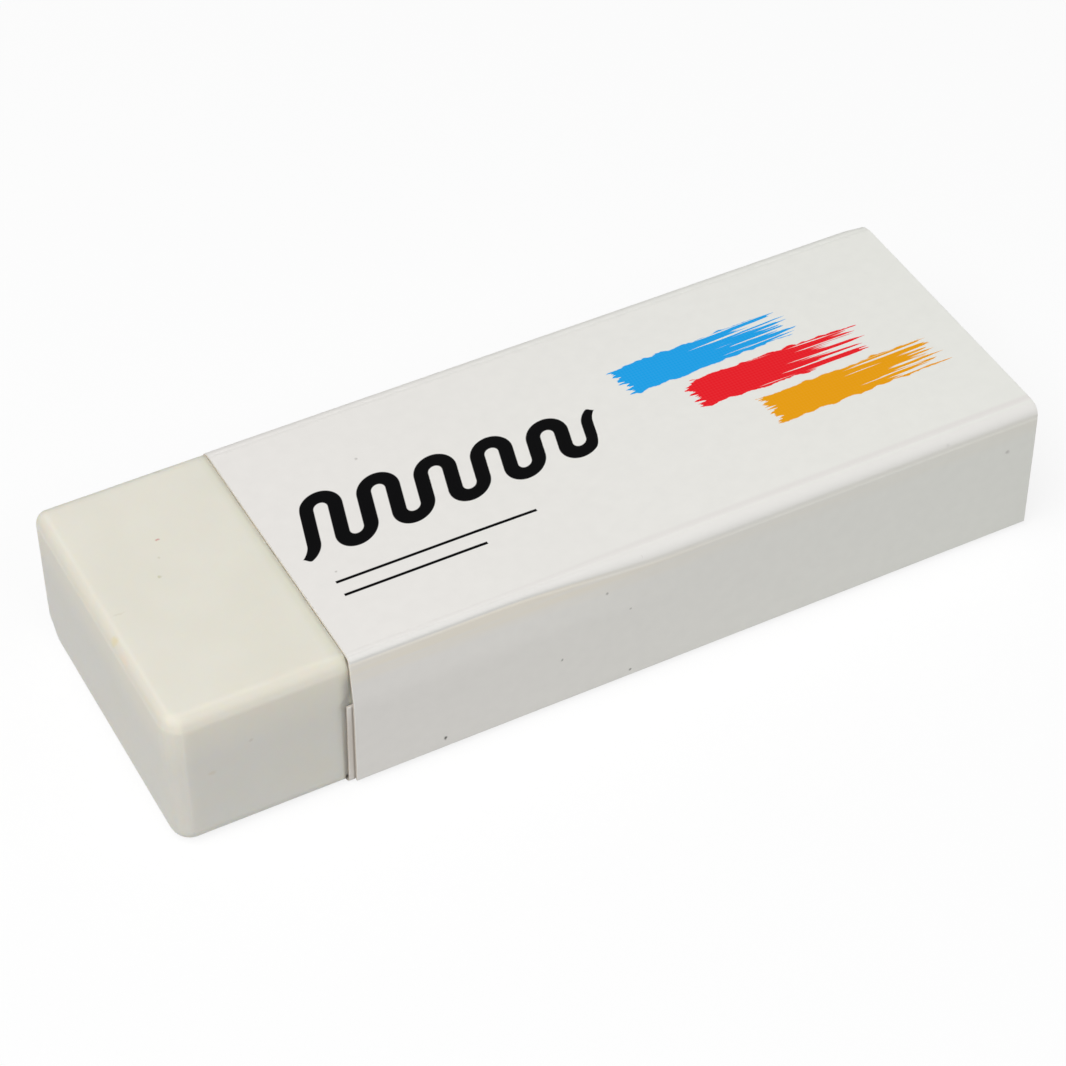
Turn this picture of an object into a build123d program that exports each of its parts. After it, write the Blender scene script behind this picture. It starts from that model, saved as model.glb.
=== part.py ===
from build123d import *
import os

# Block eraser in a folded card sleeve, in millimetres.
# +Z is up, +X runs along the block from its bare working end to its covered end, and -Y faces the
# sleeve's glued seam. The origin is under the middle of the block, on the surface the sleeve lies on.

# Rubber block
block_length = 60.0
block_width = 20.8
block_height = 10.1
block_corner_radius = 1.3  # the four upright edges
block_edge_radius = 0.8  # the edges round the top and the underside

# Card sleeve
sleeve_length = 48.6
sleeve_clearance = 0.05  # sliding gap between the rubber and the card, on every side
card_thickness = 0.2
flap_height = 6.8  # glue flap's free edge above the surface the sleeve lies on
flap_stand_out = 0.3  # how far the flap's end shows beyond the front panel at the mouth
fold_angle = 90  # degrees
crease_radius = 0.25  # inside of the two sharp folds at the front, above and below the seam
panel_bend_radius = 12.0  # soft bend where the front panel passes the flap's free edge
front_panel_lift = 0.5  # front panel's lower edge above the surface the sleeve lies on

# Glue in the seam
glue_thickness = 0.03
glue_margin = 1.5  # dry card between the glue and the edges of the lap

# Levels and walls of the card's middle line, set round the block
block_base = card_thickness + sleeve_clearance
card_inset = card_thickness / 2
under_level = card_inset
roof_level = block_base + block_height + sleeve_clearance + card_inset
wall_distance = block_width / 2 + sleeve_clearance + card_inset
lap_offset = card_thickness + glue_thickness
front_distance = wall_distance + lap_offset
fold_radius = block_edge_radius + sleeve_clearance + card_inset  # round the block's edges behind
front_fold_radius = crease_radius + card_inset
flap_fold_level = under_level + front_fold_radius

# Ends of the sleeve along the block
sleeve_end = block_length / 2
sleeve_mouth = sleeve_end - sleeve_length
flap_mouth = sleeve_mouth - flap_stand_out

# Rubber block, its edges rounded all round
with BuildPart() as eraser_block:
    with BuildSketch(Plane.XY.offset(block_base)):
        RectangleRounded(block_length, block_width, block_corner_radius)
    extrude(amount=block_height)
    ends = eraser_block.faces().filter_by(Axis.Z)
    fillet(ends.edges(), radius=block_edge_radius)

# Card sleeve: one strip of card that starts as the glue flap inside the front, passes under, behind
# and over the block, and comes down again as the front panel. The panel leaves its crease close to
# the block and leans out until it has passed the flap's free edge
with BuildPart() as card_sleeve:
    with BuildSketch(Plane.YZ.offset(sleeve_mouth)):
        with BuildLine():
            FilletPolyline(
                (front_fold_radius - wall_distance, under_level),
                (wall_distance, under_level),
                (wall_distance, roof_level),
                (-wall_distance, roof_level),
                (-front_distance, flap_height),
                (-front_distance, front_panel_lift),
                radius=[fold_radius, fold_radius, front_fold_radius, panel_bend_radius],
            )
        trace(line_width=card_thickness)
    extrude(amount=sleeve_length)

    with BuildSketch(Plane.YZ.offset(flap_mouth)):
        with BuildLine():
            flap = Line((-wall_distance, flap_height), (-wall_distance, flap_fold_level))
            JernArc(start=flap @ 1, tangent=flap % 1, radius=front_fold_radius, arc_size=fold_angle)
        trace(line_width=card_thickness)
    extrude(amount=sleeve_length)

    # Glue between the flap and the front panel, short of the card's edges
    glue_low = flap_fold_level + glue_margin
    glue_high = flap_height - glue_margin
    glue_start = sleeve_mouth + glue_margin
    glue_end = flap_mouth + sleeve_length - glue_margin
    with BuildSketch(Plane.XZ.offset(wall_distance + card_inset)):
        with Locations(((glue_start + glue_end) / 2, (glue_low + glue_high) / 2)):
            Rectangle(glue_end - glue_start, glue_high - glue_low)
    extrude(amount=glue_thickness)

eraser_block.part.label = "eraser_block"
card_sleeve.part.label = "card_sleeve"

os.makedirs("parts", exist_ok=True)
export_step(eraser_block.part, "parts/eraser_block.step")
export_step(card_sleeve.part, "parts/card_sleeve.step")
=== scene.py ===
import math

import bmesh
import bpy
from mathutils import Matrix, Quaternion, Vector, noise


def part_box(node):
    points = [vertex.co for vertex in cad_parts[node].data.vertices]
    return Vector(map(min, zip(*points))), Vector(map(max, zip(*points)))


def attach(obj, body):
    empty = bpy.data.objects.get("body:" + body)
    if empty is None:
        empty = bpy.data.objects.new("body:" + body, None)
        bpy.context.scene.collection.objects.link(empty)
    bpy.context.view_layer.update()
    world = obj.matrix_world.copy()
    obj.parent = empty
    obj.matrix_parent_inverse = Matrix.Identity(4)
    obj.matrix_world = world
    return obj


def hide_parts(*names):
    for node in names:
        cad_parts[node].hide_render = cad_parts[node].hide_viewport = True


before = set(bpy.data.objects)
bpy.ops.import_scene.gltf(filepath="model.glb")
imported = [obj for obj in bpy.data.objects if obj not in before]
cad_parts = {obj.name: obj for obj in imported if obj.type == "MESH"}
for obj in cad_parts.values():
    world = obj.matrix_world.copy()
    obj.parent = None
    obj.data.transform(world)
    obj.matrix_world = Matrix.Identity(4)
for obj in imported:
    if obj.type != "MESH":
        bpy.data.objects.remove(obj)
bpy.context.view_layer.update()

bl_info = {
    "name": "Sleeved Block Eraser",
    "version": (1, 0, 0),
    "blender": (4, 5, 0),
    "location": "View3D > Sidebar > Eraser",
    "description": "Dresses a rubber block and its folded card sleeve on the packed frame",
    "category": "Add Mesh",
}

MM = 0.001  # metres in a millimetre
PER_METRE = 1000.0  # millimetres in a metre

# The frame's boxes, in metres: they give every fit between the rubber and the card
BLOCK_LOW, BLOCK_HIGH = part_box("eraser_block")
SLEEVE_LOW, SLEEVE_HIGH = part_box("card_sleeve")
WRAP = SLEEVE_HIGH.y - BLOCK_HIGH.y  # card and sliding gap, from the rubber to the outside
LAP = BLOCK_LOW.y - SLEEVE_LOW.y - WRAP  # card and glue that the front panel adds over the flap

# Inputs of a colour mix, by number because their names repeat
FACTOR, FIRST, SECOND = 0, 6, 7

NOISE_MIDDLE = 0.5  # level about which a noise pattern swings
NOISE_LOW, NOISE_HIGH = 0.3, 0.7  # levels between which nearly all of it lies

WHITE = "#FFFFFF"


def linear(code):
    """Linear colour of an sRGB hex code."""
    parts = [int(code[i:i + 2], 16) / 255 for i in (1, 3, 5)]
    return [p / 12.92 if p <= 0.04045 else ((p + 0.055) / 1.055) ** 2.4 for p in parts]


def opaque(colour):
    """Colour as a socket takes it, from a hex code or from a setting."""
    return (*(linear(colour) if isinstance(colour, str) else colour), 1.0)


# Settings

def length_setting(name, description, default, least):
    """Length that a user can change; its default and its least value are in millimetres."""
    return bpy.props.FloatProperty(name=name, description=description, default=default * MM,
                                   min=least * MM, unit="LENGTH", precision=6)


def colour_setting(name, description, code):
    """Colour that a user can change, from an sRGB hex code."""
    return bpy.props.FloatVectorProperty(name=name, description=description, default=linear(code),
                                         subtype="COLOR", min=0.0, max=1.0)


class RubberBlockSettings(bpy.types.PropertyGroup):
    corner_radius: length_setting("Corner Radius", "Rounding of the four upright edges", 1.3, 0.2)
    back_corner_radius: length_setting(
        "Back Corner", "Rounding of the sharper upright edge behind the bare end", 0.85, 0.2)
    swell: length_setting(
        "Swell", "How far the bare rubber stands out where the sleeve no longer holds it in", 0.17, 0.0)
    edge_radius: length_setting(
        "Edge Radius", "Rounding of the edges round the top and the underside", 0.8, 0.1)
    sink_depth: length_setting("Sink Depth", "How far the moulded faces sink in, at most", 0.03, 0.0)
    rubber_colour: colour_setting("Rubber", "Body colour of the rubber on its sides", "#E1DFD9")
    # The broad face is drawn lighter than the sides: painted light on the top, with a little yellowing
    aged_and_lit_top_colour: colour_setting(
        "Aged Rubber", "Colour of the broad face, which light has yellowed a little", "#E6E3D7")
    cloud_colour: colour_setting("Clouding", "Slightly deeper colour that clouds the rubber", "#DFDCCE")
    # Painted light: a lighter band on the upper sides, just under the rims
    rim_light_colour: colour_setting(
        "Worn Rim", "Fresher, lighter rubber that handling has worn free under the upper rims", "#ECE8DB")
    # Painted shade on the upper rims themselves, which tones down their highlight
    rim_shade_colour: colour_setting(
        "Soiled Rim", "Slightly deeper colour on the upper rims themselves", "#DCD8CB")
    # A stain that the card leaves beside the mouth, with painted shade where the card's edge shades the
    # rubber
    rub_stain_and_shade_colour: colour_setting(
        "Rubbed Tint", "Tint that the card leaves beside the sleeve's mouth", "#D9D6BE")


class CardSleeveSettings(bpy.types.PropertyGroup):
    card_thickness: length_setting("Card Thickness", "Thickness of the folded card", 0.2, 0.05)
    flap_height: length_setting("Flap Height", "Glue flap's free edge above the floor", 6.8, 2.0)
    flap_stand_out: length_setting(
        "Flap Stand-out", "How far the flap shows beyond the front panel at the mouth", 0.3, 0.0)
    crease_radius: length_setting("Crease Radius", "Inside of the two sharp folds at the front", 0.25, 0.05)
    far_crease_radius: length_setting(
        "Far Crease Radius", "Inside of the front fold where it has moved out over the lap", 0.7, 0.05)
    bend_radius: length_setting(
        "Panel Bend", "Soft bend where the front panel passes the flap's free edge", 12.0, 1.0)
    mouth_slant: bpy.props.FloatProperty(
        name="Mouth Slant", description="How far the mouth's cut leans out of square towards the back",
        default=math.radians(0.4), min=0.0, max=math.radians(1.2), subtype="ANGLE")
    mouth_setback: length_setting(
        "Mouth Setback", "How far the mouth's cut lies behind the sleeve's full length", 0.21, 0.0)
    front_lean: length_setting(
        "Front Lean", "How far the front panel's mouth edge leans out towards its foot", 0.1, 0.0)
    front_lift: length_setting("Front Lift", "Front panel's lower edge above the floor", 0.45, 0.0)
    card_colour: colour_setting("Card", "Coated face of the card", "#EDEAE6")
    far_colour: colour_setting(
        "Far Card", "Coated face towards the covered end, a little greener", "#EEEEE8")
    # A yellowish tint of strained coating under the front crease, drawn lighter too: painted light on the
    # leaning panel there
    crease_tint_and_light_colour: colour_setting(
        "Crease Tint", "Tint where the coating is strained under the front crease", "#F0EADE")
    # Painted shade on the front crease, a little darker than the card, which tones down the crest's
    # highlight
    crest_shade_colour: colour_setting(
        "Whitened Crease", "Colour of the finely cracked coating on the front crease", "#E9E7E3")
    # Painted shade of the groove that the scoring rule pressed behind the front crease
    score_shade_colour: colour_setting(
        "Scored Line", "Duller line that the scoring rule pressed behind the front crease", "#E9E6E2")
    back_colour: colour_setting("Card Back", "Uncoated inside face of the card", "#CFCBC1")
    cut_colour: colour_setting("Cut Edge", "Raw edge where the card was die cut", "#D6CDC2")
    # Painted light: the cut edge near the top is drawn lighter, against the shade in the mouth's groove
    lit_cut_colour: colour_setting(
        "Clean Cut Edge", "Raw edge over the block, which handling has soiled less", "#F2E8DA")


class SleevePrintSettings(bpy.types.PropertyGroup):
    black_ink: colour_setting("Black Ink", "Ink of the scribble and the fine rules", "#030304")
    blue_ink: colour_setting("Blue Ink", "Ink of the back brush stroke", "#1AA4EC")
    red_ink: colour_setting("Red Ink", "Ink of the middle brush stroke", "#EE1A26")
    amber_ink: colour_setting("Amber Ink", "Ink of the front brush stroke", "#EEA206")
    stroke_length: length_setting("Stroke Length", "Length of a brush stroke", 11.5, 4.0)
    stroke_width: length_setting("Stroke Width", "Width of a brush stroke", 2.7, 1.0)
    scribble_pitch: length_setting(
        "Scribble Pitch", "Distance between neighbouring runs of the scribble", 1.95, 0.5)
    scribble_width: length_setting("Scribble Width", "Width of the scribble's line", 1.05, 0.2)


class StudioSettings(bpy.types.PropertyGroup):
    camera_place: bpy.props.FloatVectorProperty(
        name="Camera Place", description="Where the camera stands",
        default=(-70.2 * MM, -133.64 * MM, 147.97 * MM), subtype="TRANSLATION", unit="LENGTH")
    camera_aim: bpy.props.FloatVectorProperty(
        name="Camera Aim", description="Point that the camera looks at",
        default=(-1.25 * MM, -1.2 * MM, 5.34 * MM), subtype="TRANSLATION", unit="LENGTH")
    camera_roll: bpy.props.FloatProperty(
        name="Camera Roll", description="Turn of the camera about its own line of sight",
        default=math.radians(-0.486), subtype="ANGLE")
    lens: bpy.props.FloatProperty(
        name="Lens", description="Focal length on a 36 mm sensor, in millimetres",
        default=110.39, min=20.0)
    ambient: bpy.props.FloatProperty(
        name="Ambient", description="Strength of the even light from all round",
        default=0.2, min=0.0)
    key_power: bpy.props.FloatProperty(
        name="Key Power", description="Power of the large soft light above the bare end",
        default=3.25, min=0.0, unit="POWER")
    strip_power: bpy.props.FloatProperty(
        name="Strip Power", description="Power of the strip light that the front fold mirrors",
        default=0.52, min=0.0, unit="POWER")
    floor_colour: colour_setting("Floor", "Pale floor as it lights the eraser", "#D2D2D0")


# Nodes

def add(tree, kind, inputs=None, **options):
    """Add a node, set its options, and set its inputs or link them to a node or an output."""
    node = tree.nodes.new("ShaderNode" + kind)
    for option, value in options.items():
        setattr(node, option, value)
    for key, value in (inputs or {}).items():
        if isinstance(value, bpy.types.Node):
            value = next(output for output in value.outputs if output.enabled)
        if isinstance(value, bpy.types.NodeSocket):
            tree.links.new(value, node.inputs[key])
        else:
            node.inputs[key].default_value = value
    return node


def new_material(name):
    """Empty node material, with its tree."""
    material = bpy.data.materials.new(name)
    material.use_nodes = True
    material.node_tree.nodes.clear()
    return material, material.node_tree


def place_in_mm(tree):
    """Place of the shaded point in the part's own frame, in millimetres."""
    where = add(tree, "TexCoord").outputs["Object"]
    return add(tree, "VectorMath", {0: where, "Scale": PER_METRE}, operation="SCALE")


def band(tree, value, edges, most=1.0):
    """Share of a soft band, rising between the first two edges and falling between the last two."""
    rise = add(tree, "MapRange", {"Value": value, "From Min": edges[0], "From Max": edges[1],
                                  "To Max": most}, interpolation_type="SMOOTHSTEP")
    fall = add(tree, "MapRange", {"Value": value, "From Min": edges[3], "From Max": edges[2]},
               interpolation_type="SMOOTHSTEP")
    return add(tree, "Math", {0: rise, 1: fall}, operation="MULTIPLY")


MARK_CORE_SHARE = 0.2  # full-strength middle of a mark, as a share of its reach
MARK_RAG = 0.22  # how far a mark's outline wanders, in millimetres
MARK_RAG_SPACING = 0.3  # millimetres between its bays


def with_marks(tree, place, colour, marks):
    """Colour with small ragged marks over it, stains and painted shade; a mark is its place and reach in
    millimetres, and colour.
    """
    ragged = add(tree, "TexNoise", {"Vector": place, "Scale": 1 / MARK_RAG_SPACING, "Detail": 2.0})
    ragged = add(tree, "VectorMath", {0: ragged.outputs["Color"], 1: [NOISE_MIDDLE] * 3},
                 operation="SUBTRACT")
    ragged = add(tree, "VectorMath", {0: ragged, "Scale": MARK_RAG}, operation="SCALE")
    ragged = add(tree, "VectorMath", {0: place, 1: ragged}, operation="ADD")
    for spot, reach, mark_colour in marks:
        away = add(tree, "VectorMath", {0: ragged, 1: spot}, operation="SUBTRACT")
        away = add(tree, "VectorMath", {0: away, 1: reach}, operation="DIVIDE")
        away = add(tree, "VectorMath", {0: away}, operation="LENGTH")
        cover = add(tree, "MapRange", {"Value": away, "From Min": 1.0, "From Max": MARK_CORE_SHARE},
                    interpolation_type="SMOOTHSTEP")
        colour = add(tree, "Mix", {FACTOR: cover, FIRST: colour, SECOND: opaque(mark_colour)}, data_type="RGBA")
    return colour


def with_shade_lines(tree, place, colour, cut_edges, lines):
    """Colour with thin lines of painted shade, one beside each of the card's cut edges.

    A line is its edges beside the card's and the edges of its run of heights, in millimetres, and its
    colour.
    """
    height = add(tree, "SeparateXYZ", {0: place}).outputs["Z"]
    for (foot, lean), (edges, levels, mark_colour) in zip(cut_edges, lines):
        off = add(tree, "VectorMath", {0: place, 1: (1.0, -lean[0], -lean[1])}, operation="DOT_PRODUCT")
        off = add(tree, "Math", {0: off, 1: foot}, operation="SUBTRACT")
        share = band(tree, off, edges)
        level = band(tree, height, levels)
        share = add(tree, "Math", {0: share, 1: level}, operation="MULTIPLY")
        colour = add(tree, "Mix", {FACTOR: share, FIRST: colour, SECOND: opaque(mark_colour)}, data_type="RGBA")
    return colour


# Shapes

def steps(low, high, spacing):
    """Evenly spaced levels between low and high, without the two ends."""
    count = max(2, round((high - low) / spacing))
    return [low + (high - low) * i / count for i in range(1, count)]


def eased(share):
    """Share kept between 0 and 1 and eased at both ends."""
    share = min(1.0, max(0.0, share))
    return share * share * (3 - 2 * share)


def hollow(place, wave):
    """Share, from 0 to 1, of soft hollows that lie about a wave apart."""
    return (1 + noise.noise(place / wave)) / 2


def pressed_in(place, spots):
    """How far a surface is pressed in at a place; a spot is its place, reach and depth in millimetres."""
    return sum(depth * MM * eased(1 - (place - Vector(spot) * MM).length / (reach * MM))
               for spot, reach, depth in spots)


# Mouth of the sleeve

LEAN_HEIGHT = 6.5 * MM  # height of front panel over which its mouth edge leans out
FLAP_SETBACK = 0.09 * MM  # how far the flap's end lies behind its full stand-out at its fold
FLAP_LEAN = 0.14 * MM  # and how much farther at its free edge
FLAP_FOLD = 0.75 * MM  # height of that fold at the mouth


def full_mouth(sleeve):
    """Where the front panel's mouth would be at the sleeve's full length, along the part."""
    return SLEEVE_LOW.x + sleeve.flap_stand_out


def mouth_cut(sleeve, y):
    """How far the mouth's slanting cut lies behind the sleeve's full length, across the sleeve."""
    return sleeve.mouth_setback - math.tan(sleeve.mouth_slant) * y


def mouth_edges(sleeve):
    """Cut edges of the flap, the front panel and the roof at the mouth.

    Each is its place along the part, in millimetres, and its lean across and upwards.
    """
    mouth = full_mouth(sleeve)
    flap_lean = FLAP_LEAN / (sleeve.flap_height - FLAP_FOLD)
    flap = SLEEVE_LOW.x + FLAP_SETBACK - flap_lean * FLAP_FOLD
    front_lean = sleeve.front_lean / LEAN_HEIGHT
    front = mouth + mouth_cut(sleeve, SLEEVE_LOW.y) - sleeve.front_lean - front_lean * sleeve.front_lift
    roof = mouth + mouth_cut(sleeve, 0.0)
    leans = (0.0, flap_lean), (0.0, front_lean), (-math.tan(sleeve.mouth_slant), 0.0)
    return [(place * PER_METRE, lean) for place, lean in zip((flap, front, roof), leans)]


# Rubber

# Stains and specks on the rubber: place and reach along each axis in millimetres, and colour
RUBBER_MARKS = [
    ((-29.78, -2.25, 10.25), (0.50, 0.50, 0.40), "#DED5B6"),  # in the nick on the end's upper edge
    ((-29.80, -3.90, 10.20), (0.35, 0.90, 0.40), "#E2D8C8"),
    ((-28.70, -0.55, 10.50), (0.60, 0.09, 0.30), "#DED9CB"),  # a fine scratch
    ((-24.15, 4.28, 10.50), (0.20, 0.12, 0.30), "#CDA096"),
    ((-25.30, 1.25, 10.50), (0.18, 0.18, 0.30), "#D0CDB4"),
    ((-24.70, 2.78, 10.50), (0.14, 0.14, 0.30), "#D8D5C4"),
    ((-21.80, 10.05, 10.35), (0.40, 0.30, 0.30), "#D2D1C0"),
    ((-27.45, -10.55, 5.60), (0.36, 0.30, 0.25), "#DCD7CC"),
    ((-24.85, -10.55, 7.10), (0.20, 0.30, 0.20), "#D8D3CA"),
    ((-22.15, -10.50, 0.45), (0.26, 0.30, 0.16), "#C4BFB5"),
]

RUBBER_SHADE_LINES = [  # painted shade on the rubber beside the flap's end, over the flap beside the front panel, and beside the roof
    ((-0.4, -0.02, 0.3, 0.4), (-1.0, 0.0, 6.6, 7.0), "#BDB6AC"),
    ((-0.85, -0.3, -0.25, 0.0), (6.4, 6.9, 8.4, 9.6), "#C6C2BB"),
    ((-0.42, 0.0, 0.3, 0.4), (9.9, 10.3, 11.0, 12.0), "#CBC4B2"),
]
CLOUD_SPACING = 5.0  # millimetres between soft clouds in the rubber
CLOUD_LEVELS = (0.35, 0.75)  # levels of noise from clear rubber to clouded
CLOUD_MOST = 0.5  # share of the clouds' colour at most
GRAIN_SPACING = 0.35  # millimetres; a matt tool's grain is finer, and is drawn coarser so that it shows
GRAIN_DEPTH = 0.004 * MM
RUBBER_IOR = 1.5
RUBBER_ROUGHNESS = (0.5, 0.62)  # in the grain's hollows and on its peaks
BLEED_SHARE = 0.6  # share of the light that enters the rubber
BLEED_DEPTH = 1.2 * MM  # how far it travels inside
BLEED_REACH = (1.0, 0.75, 0.5)  # shares of that depth for red, green and blue
RUB_STAIN_AND_SHADE_REACH = 0.75  # millimetres of rubber beside the sleeve's mouth that carry the card's stain and painted shade
RUB_STAIN_AND_SHADE_FLAT = 0.1  # millimetres over which that stain and painted shade is at its fullest
RUB_STAIN_AND_SHADE_MOST = 0.45  # share of the tint's colour there
RIM_LIGHT_BAND = (-4.5, -1.1, -0.8, -0.45)  # painted light on the upper sides under the rims, in millimetres from the rubber's top
# painted shade on the upper rims, in millimetres from the rubber's top
RIM_SHADE_BAND = (-0.8, -0.4, -0.12, -0.01)
RIM_MOST = 0.7  # share of the painted light under the rims and of the painted shade on them, at most
AGED_AND_LIT_TOP_LEVELS = (-1.1, -0.07)  # millimetres from its top, from the sides' colour to the broad face's, which is painted light as well as a little yellowed


def rubber_material(settings, sleeve):
    """Thermoplastic rubber from a matt mould: ivory, softly clouded, with light bleeding into its edges."""
    material, tree = new_material("moulded_thermoplastic_rubber")
    place = place_in_mm(tree)
    axes = add(tree, "SeparateXYZ", {0: place})
    clouds = add(tree, "TexNoise", {"Vector": place, "Scale": 1 / CLOUD_SPACING, "Detail": 3.0})
    cloudy = add(tree, "MapRange", {"Value": clouds, "From Min": CLOUD_LEVELS[0],
                                    "From Max": CLOUD_LEVELS[1], "To Max": CLOUD_MOST})
    top = (BLOCK_HIGH.z + settings.swell) * PER_METRE
    depth = add(tree, "Math", {0: axes.outputs["Z"], 1: top}, operation="SUBTRACT")
    # Painted light: the broad face is drawn lighter and a little yellower than the sides
    top_share = add(tree, "MapRange", {"Value": depth, "From Min": AGED_AND_LIT_TOP_LEVELS[0], "From Max": AGED_AND_LIT_TOP_LEVELS[1]},
               interpolation_type="SMOOTHSTEP")
    colour = add(tree, "Mix", {FACTOR: top_share, FIRST: opaque(settings.rubber_colour),
                               SECOND: opaque(settings.aged_and_lit_top_colour)}, data_type="RGBA")
    colour = add(tree, "Mix", {FACTOR: cloudy, FIRST: colour, SECOND: opaque(settings.cloud_colour)},
                 data_type="RGBA")
    # Painted light on the upper sides under the rims, and painted shade on the rims
    for edges, rim_colour in ((RIM_LIGHT_BAND, settings.rim_light_colour), (RIM_SHADE_BAND, settings.rim_shade_colour)):
        share = band(tree, depth, edges, most=RIM_MOST)
        colour = add(tree, "Mix", {FACTOR: share, FIRST: colour, SECOND: opaque(rim_colour)},
                     data_type="RGBA")
    # Stain and painted shade on the rubber beside the sleeve's mouth
    mouth = full_mouth(sleeve) * PER_METRE
    edges = (mouth - RUB_STAIN_AND_SHADE_REACH, mouth, mouth + RUB_STAIN_AND_SHADE_FLAT, mouth + RUB_STAIN_AND_SHADE_REACH)
    rubbed_and_shaded = band(tree, axes.outputs["X"], edges, most=RUB_STAIN_AND_SHADE_MOST)
    colour = add(tree, "Mix", {FACTOR: rubbed_and_shaded, FIRST: colour, SECOND: opaque(settings.rub_stain_and_shade_colour)},
                 data_type="RGBA")
    colour = with_marks(tree, place, colour, RUBBER_MARKS)
    # Painted shade in the gaps beside the card's cut edges
    colour = with_shade_lines(tree, place, colour, mouth_edges(sleeve), RUBBER_SHADE_LINES)
    pores = add(tree, "TexNoise", {"Vector": place, "Scale": 1 / GRAIN_SPACING, "Detail": 3.0})
    rough = add(tree, "MapRange", {"Value": pores, "From Min": NOISE_LOW, "From Max": NOISE_HIGH,
                                   "To Min": RUBBER_ROUGHNESS[0], "To Max": RUBBER_ROUGHNESS[1]})
    bump = add(tree, "Bump", {"Height": pores, "Distance": GRAIN_DEPTH, "Strength": 1.0})
    shader = add(tree, "BsdfPrincipled", {
        "Base Color": colour, "Roughness": rough, "IOR": RUBBER_IOR, "Normal": bump,
        "Subsurface Weight": BLEED_SHARE, "Subsurface Radius": BLEED_REACH,
        "Subsurface Scale": BLEED_DEPTH})
    add(tree, "OutputMaterial", {"Surface": shader})
    return material


BLOCK_CORNER_STEPS = 10  # facets round an upright edge
BLOCK_EDGE_STEPS = 8  # facets round a rim
SHOWN_SLICE = 0.3 * MM  # mesh spacing over the bare end
HIDDEN_SLICE = 1.5 * MM  # mesh spacing under the card
SINK_WAVE = 7.0 * MM  # distance between hollows in the moulded faces
RIPPLE_WAVE = 1.6 * MM  # distance between finer ripples
RIPPLE_SHARE = 0.2  # ripple's depth as a share of the sink's
NICKS = [  # place, radius and depth in millimetres of small tears and of one worn corner
    ((-29.78, -2.25, 10.30), 0.45, 0.07),
    ((-29.80, -3.20, 10.25), 0.28, 0.03),
    ((-30.0, 10.5, 0.1), 2.2, 0.45),
]
ROUND_PROFILE = 0.5  # a quarter of a circle
CUT_TOLERANCE = 0.001 * MM  # how near a mesh corner has to be to lie on a cut
NECK_RUN = 0.6 * MM  # bare rubber over which the swell grows beside the sleeve
NECK_TUCK = 0.93  # share by which it is shorter over and under the block
NECK_SLICE = 0.04 * MM  # mesh spacing there
LOW_SIDE = 1.0 * MM  # rubber this near the floor or the front lies beside the flap, which stands out


def swollen(place, mouth, sleeve):
    """Share of the swell at a place: none inside the sleeve, all of it a short way out of the mouth."""
    in_front = eased(1 - (place.y - BLOCK_LOW.y) / LOW_SIDE)
    in_front *= eased(1 - (place.z - sleeve.flap_height) / LOW_SIDE)
    below = eased(1 - (place.z - BLOCK_LOW.z) / LOW_SIDE)
    tucked = max(below, eased(1 - (BLOCK_HIGH.z - place.z) / LOW_SIDE))
    cut = mouth_cut(sleeve, place.y)
    cut -= (cut + sleeve.flap_stand_out) * max(in_front, below)
    clear = mouth + cut - place.x
    inside = 1 - min(1.0, max(0.0, clear / (NECK_RUN * (1 - NECK_TUCK * tucked))))
    return 1 - inside * inside


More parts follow.
